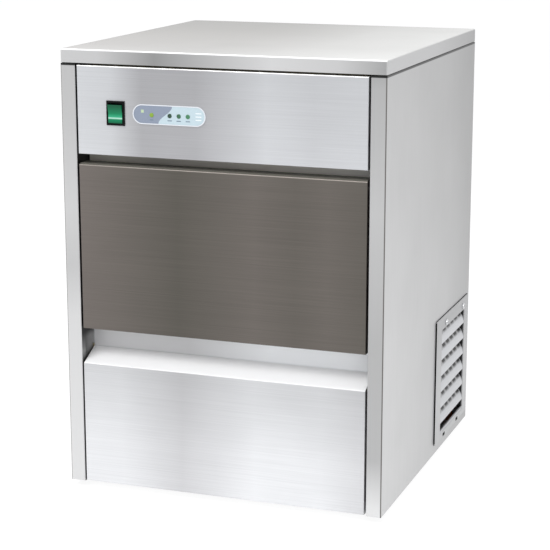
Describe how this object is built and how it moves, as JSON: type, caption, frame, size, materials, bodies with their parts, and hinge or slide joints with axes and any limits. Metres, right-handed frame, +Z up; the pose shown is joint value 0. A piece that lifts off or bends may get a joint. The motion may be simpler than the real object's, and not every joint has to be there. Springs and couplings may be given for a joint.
{
  "type": "ice cube machine",
  "caption": "Small under-counter ice cube machine in stainless steel with a top-hinged bin door, rocker switch, lamp display and side air grille.",
  "frame": {"origin": "on the floor under the centre of the cabinet's footprint", "axes": "+Z up, the door faces -Y, +X is the viewer's right"},
  "size_m": [0.4406, 0.4629, 0.59],
  "materials": {
    "galvanised_steel": "dull",
    "side_steel": "smooth satin",
    "lid_steel": "satin",
    "front_steel": "brushed across",
    "door_steel": "brushed across",
    "screw_steel": "bright",
    "dark_rail": "matte",
    "frame_plastic": "matte",
    "nylon": "matte",
    "liner_plastic": "satin",
    "foam": "matte",
    "black_plastic": "satin",
    "dark_plastic": "matte",
    "gasket_rubber": "matte",
    "black_rubber": "matte",
    "green_rocker": "translucent gloss",
    "display_plastic": "satin",
    "lime_lens": "translucent gloss",
    "green_lens": "translucent gloss",
    "circuit_board": "satin",
    "grille_plastic": "matte",
    "black_enamel": "gloss",
    "aluminium": "satin",
    "copper": "satin",
    "brass": "satin",
    "white_plastic": "matte",
    "silicone": "satin",
    "tinned_copper": "satin",
    "tray_plastic": "satin"
  },
  "bodies": {
    "cabinet": {"base_pan": "galvanised_steel", "feet": "black_rubber", "side_panel_left": "side_steel", "side_panel_right": "side_steel", "rear_panel": "galvanised_steel", "rear_screws": "screw_steel", "top_panel": "lid_steel", "lid_screws": "screw_steel", "control_panel": "front_steel", "front_rails": "dark_rail", "lower_front_panel": "front_steel", "front_frame": "frame_plastic", "hinge_bushes": "nylon", "bin_liner": "liner_plastic", "bin_insulation": "foam", "front_insulation": "foam", "bin_support_rails": "galvanised_steel", "top_insulation": "foam", "bin_sensor": "black_plastic", "switch_housing": "black_plastic", "display_plate": "display_plastic", "power_lamp": "lime_lens", "status_lamps": "green_lens", "control_board": "circuit_board", "air_grille": "grille_plastic", "grille_blades": "grille_plastic", "grille_screws": "screw_steel", "compressor": "black_enamel", "compressor_mounts": "black_rubber", "compressor_terminal_cover": "black_plastic", "condenser_fins": "aluminium", "condenser_coil": "copper", "fan_shroud": "galvanised_steel", "fan_motor": "black_enamel", "fan_bracket": "galvanised_steel", "filter_drier": "copper", "refrigerant_lines": "copper", "hot_gas_valve": "brass", "water_inlet_valve": "white_plastic", "water_fill_tube": "silicone", "drain_pipe": "white_plastic", "electrical_box": "black_plastic", "terminal_block": "white_plastic", "cable_gland": "black_plastic", "evaporator": "tinned_copper", "freezing_fingers": "tinned_copper", "tray_motor": "black_plastic", "module_frame": "white_plastic"},
    "door": {"door_outer_panel": "door_steel", "door_top_cap": "dark_plastic", "door_inner_liner": "liner_plastic", "door_foam": "foam", "door_gasket": "gasket_rubber", "door_hinge_blocks": "nylon", "door_hinge_pins": "screw_steel"},
    "rocker": {"switch_rocker": "green_rocker"},
    "fan": {"fan_blades": "black_plastic"},
    "tray": {"water_tray": "tray_plastic", "tray_drive_shaft": "screw_steel"}
  },
  "joints": [
    {"name": "door_hinge", "type": "hinge", "parent": "cabinet", "child": "door", "pos_m": [0, -0.2095, 0.4287], "axis": [-1, 0, 0], "range_deg": [0, 100]},
    {"name": "rocker_switch", "type": "hinge", "parent": "cabinet", "child": "rocker", "pos_m": [-0.141, -0.226, 0.51], "axis": [-1, 0, 0], "range_deg": [0, 14]},
    {"name": "fan_spin", "type": "hinge", "parent": "cabinet", "child": "fan", "pos_m": [0.157, 0.125, 0.106], "axis": [1, 0, 0], "continuous": true},
    {"name": "tray_tilt", "type": "hinge", "parent": "cabinet", "child": "tray", "pos_m": [0, 0.13, 0.495], "axis": [1, 0, 0], "range_deg": [0, 75]}
  ]
}
